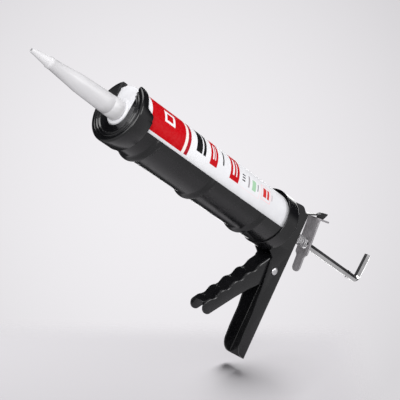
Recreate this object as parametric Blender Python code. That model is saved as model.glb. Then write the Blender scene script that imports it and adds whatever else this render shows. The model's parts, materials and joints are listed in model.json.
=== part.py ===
"""Half-barrel caulking gun with a sealant cartridge in its cradle.

Units are metres and +Z is up. The barrel lies along X with the nozzle towards -X.
The origin is on the back face of the handle, on the centre line, level with the trigger pivot.
"""

import math

import bmesh
import bpy
from mathutils import Vector

MM = 0.001
GAP = 0.3 * MM
SHEET = 1.5 * MM
ROUND_STEPS = 56

# Barrel: its axis is above the origin, and its X datum is the back face of the rear cap.
BARREL_X = -32.7 * MM
BARREL_Z = 41.5 * MM

# Cartridge
TUBE_R = 25.0 * MM
TUBE_BORE_R = 23.5 * MM
TUBE_REAR = -13.0 * MM
TUBE_LENGTH = 215.0 * MM
TUBE_FRONT = TUBE_REAR - TUBE_LENGTH
SHOULDER = 2.0 * MM
BOSS_R = 11.8 * MM
BOSS_HEIGHT = 2.2 * MM
NECK_R = 7.0 * MM
NECK_BORE_R = 5.0 * MM
NECK_LENGTH = 14.0 * MM
PISTON_REAR = -139.0 * MM
PISTON_LENGTH = 14.0 * MM

# Nozzle
NOZZLE_LENGTH = 99.0 * MM
NOZZLE_TIP_R = 2.0 * MM
NOZZLE_BASE_R = 9.2 * MM
NOZZLE_WALL = 1.1 * MM

# Cradle and caps
CRADLE_R = 27.5 * MM
CRADLE_WALL = 1.1 * MM
CRADLE_TOP_DEG = 10.5
BEAD_HEIGHT = 2.5 * MM
BEAD_HALF = 6.2 * MM
BEAD_PITCH = 75.4 * MM
BEAD_COUNT = 3
LAST_BEAD_X = -45.2 * MM
CAP_R = 28.7 * MM
CAP_WALL = 0.9 * MM
RIM_ROUND = 2.2 * MM
FRONT_RIM_X = TUBE_FRONT - 3.2 * MM
FRONT_SKIRT = 17.0 * MM
SLOT_HALF = 12.6 * MM
REAR_CAP_DEPTH = 17.0 * MM

# Handle frame, in its own tilted frame: X out of the back face, Z up along it
HANDLE_TILT_DEG = -4.5
# The back of the grip is flat up to here, and leans forward by this much from here to the top
GRIP_TOP = 25.0 * MM
WEB_LEAN = 0.3 * MM
HANDLE_HALF = 11.2 * MM
HANDLE_BEND = 2.4 * MM
HANDLE_TOP = 65.3 * MM
HANDLE_BOTTOM = -88.6 * MM
FLANGE_EDGE = 20.2 * MM
FLANGE_RISE = 18.0 * MM
TONGUE_HALF = 3.4 * MM

# Trigger, in its own tilted frame: origin on the pivot, Z up, X away from the fingers
PIVOT_X = -13.3 * MM
PIVOT_Z = 0.1 * MM
PIVOT_R = 3.0 * MM
RIVET_HEAD_R = 3.9 * MM
TRIGGER_TILT_DEG = 36.3
TRIGGER_HALF = 9.2 * MM
TRIGGER_BEND = 2.6 * MM
TRIGGER_FRONT = -15.5 * MM
TRIGGER_END = -82.4 * MM
TRIGGER_END_R = 7.0 * MM
WAVE_HEIGHT = 1.1 * MM
WAVE_PITCH = 17.0 * MM
WAVE_COUNT = 4
WAVE_START = -12.0 * MM
NOSE = (-10.7 * MM, 24.9 * MM)
NOSE_R = 3.0 * MM

# Rod and drive, with X in the barrel's frame
ROD_CORNER_R = 6.35 * MM / math.sqrt(3.0)
ROD_HOLE_R = 4.1 * MM
ROD_HOOK_X = 151.1 * MM
ROD_FRONT = -134.0 * MM
HOOK_RISE = 29.5 * MM
HOOK_BEND_R = 5.0 * MM
CRIMP_X = 135.5 * MM
STUD_R = 2.5 * MM
PLUNGER_R = 21.0 * MM
DRIVE_PLATE_REAR = 21.9 * MM
DRIVE_PLATE_THICK = 3.0 * MM
MAIN_SPRING_R = 7.2 * MM
MAIN_WIRE_R = 0.7 * MM

# Release lever, in its own tilted frame: origin at the hook that its thumb tab bears on
LEVER_X = 22.0 * MM
LEVER_Z = 70.9 * MM
LEVER_TILT_DEG = -10.5
LEVER_HALF = 8.0 * MM
LEVER_SHEET = 1.8 * MM
LEVER_FACE = -7.7 * MM
LEVER_TAB_END = 7.3 * MM
LEVER_HOLE_R = 4.8 * MM
LEVER_SPRING_R = 4.8 * MM
LEVER_WIRE_R = 0.5 * MM


def clear_scene():
    """Remove every object that is in the scene already."""
    for obj in list(bpy.data.objects):
        bpy.data.objects.remove(obj, do_unlink=True)


def material(name, colour, roughness, metallic):
    """Return a Principled material."""
    mat = bpy.data.materials.new(name)
    mat.use_nodes = True
    shader = mat.node_tree.nodes["Principled BSDF"]
    shader.inputs["Base Color"].default_value = (*colour, 1.0)
    shader.inputs["Roughness"].default_value = roughness
    shader.inputs["Metallic"].default_value = metallic
    return mat


def empty(name, x, z, tilt_deg=0.0):
    """Return an empty on the centre plane, turned about Y, to hang pieces on."""
    holder = bpy.data.objects.new(name, None)
    bpy.context.scene.collection.objects.link(holder)
    holder.location = (x, 0.0, z)
    holder.rotation_euler = (0.0, math.radians(tilt_deg), 0.0)
    return holder


def finish_mesh(name, bm, mat, parent, smooth_deg=30.0):
    """Turn a bmesh into a named object whose faces point out."""
    bmesh.ops.remove_doubles(bm, verts=bm.verts, dist=1e-7)
    bmesh.ops.recalc_face_normals(bm, faces=bm.faces)
    mesh = bpy.data.meshes.new(name)
    bm.to_mesh(mesh)
    bm.free()
    mesh.shade_smooth()
    mesh.set_sharp_from_angle(angle=math.radians(smooth_deg))
    if mat:
        mesh.materials.append(mat)
    obj = bpy.data.objects.new(name, mesh)
    bpy.context.scene.collection.objects.link(obj)
    obj.parent = parent
    return obj


def arc(centre, radius, start_deg, end_deg, steps):
    """Return the points of an arc in a plane."""
    points = []
    for i in range(steps + 1):
        angle = math.radians(start_deg + (end_deg - start_deg) * i / steps)
        points.append((centre[0] + radius * math.cos(angle), centre[1] + radius * math.sin(angle)))
    return points


def turned(name, profile, mat=None, parent=None, steps=ROUND_STEPS):
    """Turn a profile of (x, radius) points about X, as a ring unless it starts on the axis."""
    bm = bmesh.new()
    rings = []
    for x, radius in profile:
        count = steps if radius > 0.0 else 1
        angles = [2.0 * math.pi * i / steps for i in range(count)]
        rings.append([bm.verts.new((x, radius * math.cos(a), radius * math.sin(a))) for a in angles])
    pairs = list(zip(rings, rings[1:]))
    if len(rings[0]) > 1:
        pairs.append((rings[-1], rings[0]))
    for ring_a, ring_b in pairs:
        for i in range(steps):
            j = (i + 1) % steps
            if len(ring_a) == 1:
                bm.faces.new((ring_a[0], ring_b[i], ring_b[j]))
            elif len(ring_b) == 1:
                bm.faces.new((ring_a[i], ring_b[0], ring_a[j]))
            else:
                bm.faces.new((ring_a[i], ring_b[i], ring_b[j], ring_a[j]))
    return finish_mesh(name, bm, mat, parent)


def prism(name, outline, low, high, axis="Y", mat=None, parent=None):
    """Extrude an outline from low to high: (x, z) points along Y, or (y, z) points along X."""
    bm = bmesh.new()
    if axis == "Y":
        corners = [(u, low, v) for u, v in outline]
        push = (0.0, high - low, 0.0)
    else:
        corners = [(low, u, v) for u, v in outline]
        push = (high - low, 0.0, 0.0)
    face = bm.faces.new([bm.verts.new(corner) for corner in corners])
    pushed = bmesh.ops.extrude_face_region(bm, geom=[face])
    moved = [item for item in pushed["geom"] if isinstance(item, bmesh.types.BMVert)]
    bmesh.ops.translate(bm, verts=moved, vec=push)
    return finish_mesh(name, bm, mat, parent)


def box_outline(low_u, high_u, low_v, high_v):
    """Return the outline of a rectangle."""
    return [(low_u, low_v), (high_u, low_v), (high_u, high_v), (low_u, high_v)]


def boolean(target, tool, operation="DIFFERENCE"):
    """Add an exact Boolean to the target and mark the tool as a guide."""
    tool.hide_render = True
    tool.display_type = "WIRE"
    change = target.modifiers.new(tool.name, "BOOLEAN")
    change.solver = "EXACT"
    change.operation = operation
    change.object = tool


def drill(target, name, radius, centre, axis, length, parent):
    """Cut a round hole through the target along X or Y of the parent's frame."""
    half = length / 2.0
    bar = turned(name, [(-half, 0.0), (-half, radius), (half, radius), (half, 0.0)], None, parent, 24)
    bar.location = centre
    if axis == "Y":
        bar.rotation_euler = (0.0, 0.0, math.radians(90.0))
    boolean(target, bar)


def skin(name, sections, mat, parent, smooth_deg=35.0):
    """Skin one closed section after another and cap the two ends."""
    bm = bmesh.new()
    rings = [[bm.verts.new(point) for point in section] for section in sections]
    count = len(rings[0])
    for ring_a, ring_b in zip(rings, rings[1:]):
        for i in range(count):
            j = (i + 1) % count
            bm.faces.new((ring_a[i], ring_a[j], ring_b[j], ring_b[i]))
    bm.faces.new(rings[0])
    bm.faces.new(rings[-1])
    return finish_mesh(name, bm, mat, parent, smooth_deg)


def coil(name, x_start, x_end, radius, wire_r, turns, mat, parent):
    """Make a compression spring about X, with one closed turn at each end."""
    per_turn = 16
    sides = 6
    tight = 2.3 * wire_r
    span = x_end - x_start - 2.0 * wire_r
    pitch = (span - 2.0 * tight) / (turns - 2.0)
    along = Vector((1.0, 0.0, 0.0))
    sections = []
    for i in range(turns * per_turn + 1):
        turn = i / per_turn
        middle = min(max(turn - 1.0, 0.0), turns - 2.0)
        x = x_start + wire_r + tight * (turn - middle) + pitch * middle
        angle = 2.0 * math.pi * turn
        outward = Vector((0.0, math.cos(angle), math.sin(angle)))
        centre = outward * radius + along * x
        section = []
        for k in range(sides):
            around = 2.0 * math.pi * k / sides
            section.append(centre + wire_r * (math.cos(around) * outward + math.sin(around) * along))
        sections.append(section)
    return skin(name, sections, mat, parent, 70.0)


def channel(name, stations, half, bend, open_x, mat, parent):
    """Make a folded U channel along Z from (z, web's x) stations, with walls that end at open_x."""
    sections = []
    for z, web in stations:
        way = 1.0 if open_x > web else -1.0
        outer = [(open_x, half)]
        inner = [(open_x, half - SHEET)]
        for cos_part, sin_part in arc((0.0, 0.0), 1.0, 90.0, 0.0, 4):
            outer.append((web + way * bend * (1.0 - cos_part), half - bend * (1.0 - sin_part)))
            inside = bend - SHEET
            depth = SHEET + inside * (1.0 - cos_part)
            inner.append((web + way * depth, half - SHEET - inside * (1.0 - sin_part)))
        outline = outer + [(x, -y) for x, y in reversed(outer)]
        outline += [(x, -y) for x, y in inner] + list(reversed(inner))
        sections.append([(x, y, z) for x, y in outline])
    return skin(name, sections, mat, parent)


def bead_lift(x):
    """Return how far a swaged bead lifts the cradle's wall at x."""
    for i in range(BEAD_COUNT):
        away = abs(x - (LAST_BEAD_X - i * BEAD_PITCH)) / BEAD_HALF
        if away < 1.0:
            return BEAD_HEIGHT * 0.5 * (1.0 + math.cos(math.pi * away))
    return 0.0


def make_cradle(mat, parent):
    """Make the half-round cradle with its swaged beads."""
    stations = [TUBE_FRONT + 1.5 * MM]
    for i in reversed(range(BEAD_COUNT)):
        centre = LAST_BEAD_X - i * BEAD_PITCH
        stations += [centre + BEAD_HALF * k / 4.0 for k in range(-4, 5)]
    stations.append(-SHEET - GAP)
    inside = CRADLE_R - CRADLE_WALL
    start = 180.0 + CRADLE_TOP_DEG
    end = 360.0 - CRADLE_TOP_DEG
    sections = []
    for x in stations:
        lift = bead_lift(x)
        outline = arc((0.0, 0.0), CRADLE_R + lift, start, end, 36)
        outline += arc((0.0, 0.0), inside + lift, end, start, 36)
        sections.append([(x, y, z) for y, z in outline])
    return skin("cradle", sections, mat, parent)


def make_front_cap(mat, parent):
    """Make the stamped front cap with its stepped face, swept skirt and nozzle slot."""
    rim = FRONT_RIM_X
    inner = CAP_R - CAP_WALL
    skirt_end = rim + FRONT_SKIRT
    back = TUBE_FRONT - GAP
    step = 1.0 * MM
    profile = [(skirt_end, inner), (skirt_end, CAP_R)]
    profile += arc((rim + RIM_ROUND, CAP_R - RIM_ROUND), RIM_ROUND, 90.0, 180.0, 5)
    profile += [(rim, 24.9 * MM), (rim + step, 24.1 * MM), (rim + step, 23.3 * MM)]
    profile += [(rim + 0.3 * step, 22.8 * MM), (rim + 0.3 * step, 21.5 * MM)]
    profile += [(rim + 1.6 * step, 20.7 * MM), (rim + 1.6 * step, 6.0 * MM)]
    profile += [(back, 6.0 * MM), (back, 26.0 * MM), (back + step, inner)]
    cap = turned("front_cap", profile, mat, parent)
    top = CAP_R + 6.0 * MM
    slot = arc((0.0, 0.0), SLOT_HALF, 180.0, 360.0, 20) + [(SLOT_HALF, top), (-SLOT_HALF, top)]
    boolean(cap, prism("slot_guide", slot, rim - 5.0 * MM, skirt_end + 5.0 * MM, "X", None, parent))
    low = rim + 16.0 * MM
    high = rim + 7.4 * MM
    end = skirt_end + 5.0 * MM
    sweep = [(end, 1.0 * MM), (low + 3.0 * MM, 1.0 * MM), (low, 4.0 * MM)]
    sweep += arc((low - 4.0 * MM, 6.0 * MM), 4.0 * MM, 0.0, 45.0, 4)
    sweep += arc((high + 4.0 * MM, 14.0 * MM), 4.0 * MM, 225.0, 180.0, 4)
    sweep += [(high, 22.0 * MM), (high - 2.5 * MM, top), (end, top)]
    reach = CAP_R + 5.0 * MM
    boolean(cap, prism("sweep_guide", sweep, -reach, reach, "Y", None, parent))
    return cap


def rivet_places():
    """Return the (y, z) places of the four rivets between the rear cap and the frame."""
    y = HANDLE_HALF + 5.0 * MM
    return [(side * y, level) for level in (12.0 * MM, -12.0 * MM) for side in (-1.0, 1.0)]


def make_rear_cap(mat, parent):
    """Make the rear cap: a cup round the cradle's rear end, with holes for rod and rivets."""
    inner = CAP_R - CAP_WALL
    profile = [(-REAR_CAP_DEPTH, inner), (-REAR_CAP_DEPTH, CAP_R)]
    profile += arc((-RIM_ROUND, CAP_R - RIM_ROUND), RIM_ROUND, 90.0, 0.0, 5)
    profile += [(0.0, ROD_HOLE_R), (-SHEET, ROD_HOLE_R), (-SHEET, inner)]
    cap = turned("rear_cap", profile, mat, parent)
    for i, (y, z) in enumerate(rivet_places()):
        drill(cap, f"cap_hole_guide_{i + 1}", 2.3 * MM, (0.0, y, z), "X", 10.0 * MM, parent)
    return cap


def make_cap_rivets(mat, parent):
    """Make the four rivets that hold the rear cap to the frame's flanges."""
    shank = 2.0 * MM
    head = 3.6 * MM
    front = -SHEET - GAP
    back = SHEET + 2.0 * GAP
    profile = [(front - 1.2 * MM, 0.0), (front - 1.2 * MM, 3.0 * MM), (front - 0.6 * MM, head)]
    profile += [(front, head), (front, shank), (back, shank), (back, head)]
    profile += [(back + 0.8 * MM, 3.2 * MM), (back + 1.4 * MM, 2.0 * MM), (back + 1.6 * MM, 0.0)]
    for i, (y, z) in enumerate(rivet_places()):
        rivet = turned(f"cap_rivet_{i + 1}", profile, mat, parent, 18)
        rivet.location = (0.0, y, z)


def in_handle(x, z):
    """Return a point of the barrel's frame in the handle's tilted frame."""
    tilt = math.radians(HANDLE_TILT_DEG)
    sin_tilt = math.sin(tilt)
    cos_tilt = math.cos(tilt)
    along = BARREL_X + x
    up = BARREL_Z + z
    return (along * cos_tilt - up * sin_tilt, along * sin_tilt + up * cos_tilt)


def handle_outline():
    """Return the side outline of the frame's two walls, in the handle's frame."""
    beyond = 2.0 * MM
    front = 2.0 * GAP
    corner = 14.5 * MM
    outline = [(beyond, HANDLE_TOP), (beyond, HANDLE_BOTTOM)]
    outline += arc((-0.5 * MM, HANDLE_BOTTOM + corner), corner, 270.0, 180.0, 8)
    outline += [(-15.9 * MM, -64.0 * MM), (-16.2 * MM, -44.0 * MM), (-18.2 * MM, -32.0 * MM)]
    outline.append((-20.4 * MM, -15.0 * MM))
    outline += [(-23.6 * MM, 5.5 * MM), (-24.2 * MM, 9.0 * MM), (-23.6 * MM, 12.0 * MM)]
    outline += [in_handle(front, -27.2 * MM), in_handle(front, 26.0 * MM), in_handle(9.0 * MM, 27.2 * MM)]
    outline += arc((-15.5 * MM, 62.3 * MM), 8.0 * MM, 88.0, 45.0, 5)
    outline += [(-7.0 * MM, 66.0 * MM), (-4.0 * MM, HANDLE_TOP)]
    return outline


def make_handle_frame(mat, handle, barrel):
    """Make the folded frame: grip channel, walls up to the rear cap, flanges and top tongue."""
    stations = [(HANDLE_BOTTOM - 5.0 * MM, 0.0), (GRIP_TOP, 0.0), (HANDLE_TOP + 10.0 * MM, -WEB_LEAN)]
    frame = channel("handle_frame", stations, HANDLE_HALF, HANDLE_BEND, -60.0 * MM, mat, handle)
    reach = HANDLE_HALF + 5.0 * MM
    boolean(frame, prism("wall_guide", handle_outline(), -reach, reach, "Y", None, handle), "INTERSECT")
    corner = 5.0 * MM
    for side in (-1.0, 1.0):
        root = side * (HANDLE_HALF - 0.8 * SHEET)
        edge = side * (FLANGE_EDGE - corner)
        outline = [(root, -FLANGE_RISE)]
        outline += [(edge + side * corner * math.cos(a), -FLANGE_RISE + corner + corner * math.sin(a))
                    for a in (math.radians(-90.0 + 22.5 * k) for k in range(5))]
        outline += [(edge + side * corner * math.cos(a), FLANGE_RISE - corner + corner * math.sin(a))
                    for a in (math.radians(22.5 * k) for k in range(5))]
        outline += [(root, FLANGE_RISE)]
        name = "flange_guide_near" if side < 0.0 else "flange_guide_far"
        boolean(frame, prism(name, outline, GAP, GAP + SHEET, "X", None, barrel), "UNION")
    tongue = [(-1.2 * MM, 62.6 * MM), (-0.7 * MM, 65.0 * MM), (18.2 * MM, 71.4 * MM), (23.4 * MM, 71.9 * MM)]
    tongue += [(28.6 * MM, 75.6 * MM), (32.8 * MM, 76.6 * MM), (33.5 * MM, 75.4 * MM), (29.6 * MM, 68.9 * MM)]
    tongue += [(28.4 * MM, 68.3 * MM), (27.4 * MM, 68.7 * MM), (26.2 * MM, 70.6 * MM), (18.6 * MM, 69.9 * MM)]
    tongue += [(0.0, 63.6 * MM)]
    boolean(frame, prism("tongue_guide", tongue, -TONGUE_HALF, TONGUE_HALF, "Y", None, handle), "UNION")
    for i, (y, z) in enumerate(rivet_places()):
        drill(frame, f"flange_hole_guide_{i + 1}", 2.3 * MM, (0.0, y, z), "X", 10.0 * MM, barrel)
    drill(frame, "rod_hole_guide", ROD_HOLE_R, (-BARREL_X, 0.0, 0.0), "X", 20.0 * MM, barrel)
    drill(frame, "pivot_hole_guide", PIVOT_R + GAP, (PIVOT_X, 0.0, PIVOT_Z), "Y", 40.0 * MM, None)
    return frame


def wave(z):
    """Return where the trigger's finger face stands at z."""
    share = (WAVE_START - z) / WAVE_PITCH
    if share < 0.0 or share > WAVE_COUNT:
        return TRIGGER_FRONT
    return TRIGGER_FRONT + WAVE_HEIGHT * (1.0 - math.cos(2.0 * math.pi * share))


def trigger_outline():
    """Return the side outline of the trigger's walls, in the trigger's frame."""
    outline = arc(NOSE, NOSE_R, 23.0, 203.0, 8)
    outline += [(-9.4 * MM, 12.0 * MM), (-10.5 * MM, 8.0 * MM), (-14.0 * MM, 5.0 * MM)]
    outline += [(TRIGGER_FRONT - 3.0 * MM, 3.0 * MM)]
    end = (TRIGGER_FRONT + 0.1 * MM + TRIGGER_END_R, TRIGGER_END)
    outline += [(TRIGGER_FRONT - 3.0 * MM, TRIGGER_END + 8.0 * MM)]
    outline += [(TRIGGER_FRONT + 0.1 * MM, TRIGGER_END + 4.0 * MM)]
    outline += arc(end, TRIGGER_END_R, 180.0, 350.0, 12)
    outline += [(-0.2 * MM, -52.0 * MM), (1.2 * MM, -34.0 * MM), (4.7 * MM, -15.4 * MM)]
    outline += arc((0.0, 0.0), 7.2 * MM, -30.0, 50.0, 6)
    return outline


def make_trigger(mat, parent):
    """Make the trigger: a waved channel whose walls run past the pivot to push the drive plate."""
    levels = [34.0 * MM, 0.0]
    steps_per_wave = 8
    count = WAVE_COUNT * steps_per_wave
    levels += [WAVE_START - WAVE_PITCH * i / steps_per_wave for i in range(count + 1)]
    levels.append(TRIGGER_END - 12.0 * MM)
    stations = [(level, wave(level)) for level in levels]
    trigger = channel("trigger", stations, TRIGGER_HALF, TRIGGER_BEND, 20.0 * MM, mat, parent)
    reach = TRIGGER_HALF + 5.0 * MM
    boolean(trigger, prism("trigger_guide", trigger_outline(), -reach, reach, "Y", None, parent), "INTERSECT")
    inside = TRIGGER_HALF - TRIGGER_BEND
    web_end = box_outline(TRIGGER_FRONT - 5.0 * MM, TRIGGER_FRONT + 20.0 * MM, -110.0 * MM, -84.6 * MM)
    boolean(trigger, prism("web_end_guide", web_end, -inside, inside, "Y", None, parent))
    drill(trigger, "trigger_hole_guide", PIVOT_R + GAP, (0.0, 0.0, 0.0), "Y", 40.0 * MM, parent)
    return trigger


def make_pivot(mat):
    """Make the trigger's pivot rivet, with a domed head on each side."""
    face = HANDLE_HALF + GAP
    dome = [(face + 0.5 * MM, RIVET_HEAD_R), (face + 1.1 * MM, 3.3 * MM), (face + 1.5 * MM, 2.0 * MM)]
    half = [(face, PIVOT_R), (face, RIVET_HEAD_R)] + dome
    profile = [(-face - 1.7 * MM, 0.0)]
    profile += [(-x, r) for x, r in reversed(half)] + half + [(face + 1.7 * MM, 0.0)]
    pivot = turned("trigger_pivot", profile, mat, None, 24)
    pivot.location = (PIVOT_X, 0.0, PIVOT_Z)
    pivot.rotation_euler = (0.0, 0.0, math.radians(90.0))


def make_drive(mats, barrel):
    """Make the drive plate that grips the rod and the main spring that returns it."""
    low = -15.5 * MM
    high = 9.5 * MM
    corner = 3.0 * MM
    half = TRIGGER_HALF
    outline = [(-half, low), (half, low)]
    outline += arc((half - corner, high - corner), corner, 0.0, 90.0, 4)
    outline += arc((-half + corner, high - corner), corner, 90.0, 180.0, 4)
    front = DRIVE_PLATE_REAR - DRIVE_PLATE_THICK
    plate = prism("drive_plate", outline, front, DRIVE_PLATE_REAR, "X", mats["zinc"], barrel)
    drill(plate, "plate_hole_guide", ROD_HOLE_R, (front, 0.0, 0.0), "X", 20.0 * MM, barrel)
    washer_front = front - GAP - 1.0 * MM
    washer_r = 8.4 * MM
    washer = [(washer_front, ROD_HOLE_R), (washer_front, washer_r)]
    washer += [(front - GAP, washer_r), (front - GAP, ROD_HOLE_R)]
    turned("spring_washer", washer, mats["zinc"], barrel, 32)
    coil("main_spring", GAP, washer_front - GAP, MAIN_SPRING_R, MAIN_WIRE_R, 4, mats["spring"], barrel)


def hex_section(centre, across, other):
    """Return a hexagon round a centre, with a flat facing along the first of two unit vectors."""
    points = []
    for k in range(6):
        angle = math.radians(60.0 * k + 30.0)
        points.append(centre + ROD_CORNER_R * (math.cos(angle) * across + math.sin(angle) * other))
    return points


def make_rod(mats, barrel):
    """Make the hexagonal thrust rod with its pull hook, stop crimp and front stud."""
    side = Vector((0.0, 1.0, 0.0))
    up = Vector((0.0, 0.0, 1.0))
    along = Vector((1.0, 0.0, 0.0))
    bend = Vector((ROD_HOOK_X - HOOK_BEND_R, 0.0, HOOK_BEND_R))
    sections = [hex_section(along * ROD_FRONT, up, side)]
    for k in range(9):
        angle = math.radians(90.0 * k / 8.0)
        outward = math.sin(angle) * along - math.cos(angle) * up
        sections.append(hex_section(bend + HOOK_BEND_R * outward, -outward, side))
    sections.append(hex_section(Vector((ROD_HOOK_X, 0.0, HOOK_RISE)), -along, side))
    rod = skin("thrust_rod", sections, mats["rod"], barrel)
    ear = box_outline(-4.3 * MM, 4.3 * MM, -1.3 * MM, 1.3 * MM)
    ear = [(v, u) for u, v in ear]
    crimp = prism("crimp_guide", ear, CRIMP_X - 1.4 * MM, CRIMP_X + 1.4 * MM, "X", None, barrel)
    boolean(rod, crimp, "UNION")
    stud_end = ROD_FRONT - 11.0 * MM
    stud = [(stud_end, 0.0), (stud_end, STUD_R), (ROD_FRONT + 6.0 * MM, STUD_R), (ROD_FRONT + 6.0 * MM, 0.0)]
    boolean(rod, turned("stud_guide", stud, None, barrel, 16), "UNION")


def make_plunger(mats, barrel):
    """Make the plunger on the rod's stud: washer, cupped disc and nut."""
    bore = STUD_R + GAP
    rear = ROD_FRONT - GAP
    washer = [(rear, bore), (rear, 9.0 * MM), (rear - SHEET, 9.0 * MM), (rear - SHEET, bore)]
    turned("plunger_washer", washer, mats["zinc"], barrel, 32)
    rear -= SHEET + GAP
    lip = 4.0 * MM
    disc = [(rear, bore), (rear, PLUNGER_R - 1.5 * MM), (rear + lip, PLUNGER_R - 1.2 * MM)]
    disc += [(rear + lip, PLUNGER_R), (rear - 0.6 * MM, PLUNGER_R), (rear - SHEET, PLUNGER_R - 1.5 * MM)]
    disc += [(rear - SHEET, bore)]
    turned("plunger_plate", disc, mats["zinc"], barrel, 40)
    rear -= SHEET + GAP
    nut_r = 4.6 * MM
    outline = arc((0.0, 0.0), nut_r, 0.0, 300.0, 5)
    nut = prism("rod_nut", outline, rear - 4.0 * MM, rear, "X", mats["zinc"], barrel)
    drill(nut, "nut_hole_guide", bore, (rear, 0.0, 0.0), "X", 20.0 * MM, barrel)


def make_cartridge(mats, barrel):
    """Make the cartridge: tube with neck, piston, the sealant left in it, and the nozzle."""
    front = TUBE_FRONT
    neck_end = front - NECK_LENGTH
    boss = front - BOSS_HEIGHT
    inside = front + SHOULDER
    tube = [(TUBE_REAR, TUBE_BORE_R), (TUBE_REAR, TUBE_R), (front + 1.2 * MM, TUBE_R)]
    tube += [(front + 0.3 * MM, TUBE_R - 0.4 * MM), (front, TUBE_R - 1.2 * MM)]
    tube += [(front, BOSS_R), (boss + 0.8 * MM, BOSS_R), (boss, BOSS_R - 0.8 * MM)]
    tube += [(boss, NECK_R), (neck_end, NECK_R), (neck_end, NECK_BORE_R), (inside, NECK_BORE_R)]
    tube += [(inside, TUBE_BORE_R)]
    turned("cartridge_tube", tube, mats["white"], barrel)
    skirt = boss - GAP
    tip = skirt - NOZZLE_LENGTH
    socket_r = NECK_R + GAP
    outer = [(skirt, NOZZLE_BASE_R), (skirt - 11.0 * MM, 9.0 * MM), (skirt - 46.0 * MM, 7.8 * MM)]
    outer += [(tip + 21.5 * MM, 4.9 * MM), (tip + 18.5 * MM, 4.9 * MM), (tip + 17.5 * MM, 4.3 * MM)]
    outer += [(tip, NOZZLE_TIP_R)]
    inner = [(tip, NOZZLE_TIP_R - 0.8 * MM), (tip + 18.0 * MM, 3.2 * MM), (tip + 22.0 * MM, 3.8 * MM)]
    inner += [(skirt - 46.0 * MM, 7.8 * MM - NOZZLE_WALL), (skirt - 13.0 * MM, socket_r), (skirt, socket_r)]
    turned("nozzle", outer + inner, mats["clear"], barrel, 36)
    rear = PISTON_REAR
    fore = rear - PISTON_LENGTH
    side = TUBE_BORE_R - GAP
    floor = fore + 1.8 * MM
    piston = [(floor, 0.0), (floor, side - 3.6 * MM), (rear, side - 1.6 * MM), (rear, side)]
    piston += [(fore + 2.0 * MM, side), (fore, side - 2.0 * MM), (fore, 0.0)]
    turned("cartridge_piston", piston, mats["white"], barrel, 40)
    paste = [(fore - GAP, 0.0), (fore - GAP, side), (inside + GAP, side), (inside + GAP, 0.0)]
    turned("sealant", paste, mats["paste"], barrel, 40)


def make_lever(mats, lever, barrel):
    """Make the release lever with its thumb tab, finger tongue and slot, and its spring."""
    rear = LEVER_FACE + LEVER_SHEET
    under = 0.2 * MM - LEVER_SHEET
    bottom = -57.6 * MM
    side = [(LEVER_FACE, bottom), (rear, bottom), (rear, under - 1.0 * MM), (rear + 1.0 * MM, under)]
    side += [(LEVER_TAB_END, under), (LEVER_TAB_END, 0.2 * MM), (LEVER_FACE + 2.0 * MM, 0.2 * MM)]
    side += [(LEVER_FACE + 0.6 * MM, -0.4 * MM), (LEVER_FACE, -1.8 * MM)]
    plate = prism("release_lever", side, -LEVER_HALF, LEVER_HALF, "Y", mats["zinc"], lever)
    tongue = 5.0 * MM
    shoulder = -37.5 * MM
    front = [(LEVER_HALF, 5.0 * MM), (-LEVER_HALF, 5.0 * MM), (-LEVER_HALF, shoulder)]
    front += [(-LEVER_HALF + 0.9 * MM, shoulder - 2.2 * MM), (-tongue - 0.5 * MM, shoulder - 4.0 * MM)]
    front += arc((0.0, bottom + tongue), tongue, 180.0, 360.0, 12)
    front += [(tongue + 0.5 * MM, shoulder - 4.0 * MM), (LEVER_HALF - 0.9 * MM, shoulder - 2.2 * MM)]
    front += [(LEVER_HALF, shoulder)]
    boolean(plate, prism("lever_guide", front, -20.0 * MM, 20.0 * MM, "X", None, lever), "INTERSECT")
    slot = box_outline(-2.6 * MM, 3.8 * MM, -6.0 * MM, 6.0 * MM)
    slot_half = TONGUE_HALF + 0.8 * MM
    boolean(plate, prism("tab_slot_guide", slot, -slot_half, slot_half, "Y", None, lever))
    drill(plate, "lever_hole_guide", LEVER_HOLE_R, (LEVER_FACE, 0.0, -28.6 * MM), "X", 20.0 * MM, lever)
    web_face = -BARREL_X - BARREL_Z * math.tan(math.radians(-HANDLE_TILT_DEG))
    spring_start = web_face + 3.0 * GAP
    spring_end = -BARREL_X + 17.9 * MM
    coil("lever_spring", spring_start, spring_end, LEVER_SPRING_R, LEVER_WIRE_R, 7, mats["spring"], barrel)


def build():
    """Build the whole gun."""
    clear_scene()
    black = material("black_paint", (0.022, 0.022, 0.024), 0.42, 0.0)
    mats = {
        "zinc": material("zinc_plate", (0.46, 0.45, 0.46), 0.38, 1.0),
        "spring": material("spring_steel", (0.60, 0.60, 0.62), 0.30, 1.0),
        "rod": material("drawn_steel", (0.62, 0.62, 0.63), 0.28, 1.0),
        "white": material("white_plastic", (0.86, 0.86, 0.86), 0.35, 0.0),
        "clear": material("clear_plastic", (0.80, 0.81, 0.82), 0.30, 0.0),
        "paste": material("paste", (0.82, 0.82, 0.80), 0.50, 0.0),
    }
    barrel = empty("barrel_axis", BARREL_X, BARREL_Z)
    handle = empty("handle_axis", 0.0, 0.0, HANDLE_TILT_DEG)
    trigger = empty("trigger_axis", PIVOT_X, PIVOT_Z, TRIGGER_TILT_DEG)
    lever = empty("lever_axis", LEVER_X, LEVER_Z, LEVER_TILT_DEG)
    make_cradle(black, barrel)
    make_front_cap(black, barrel)
    make_rear_cap(black, barrel)
    make_cap_rivets(mats["zinc"], barrel)
    make_handle_frame(black, handle, barrel)
    make_trigger(black, trigger)
    make_pivot(mats["zinc"])
    make_drive(mats, barrel)
    make_rod(mats, barrel)
    make_plunger(mats, barrel)
    make_cartridge(mats, barrel)
    make_lever(mats, lever, barrel)


build()
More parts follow.
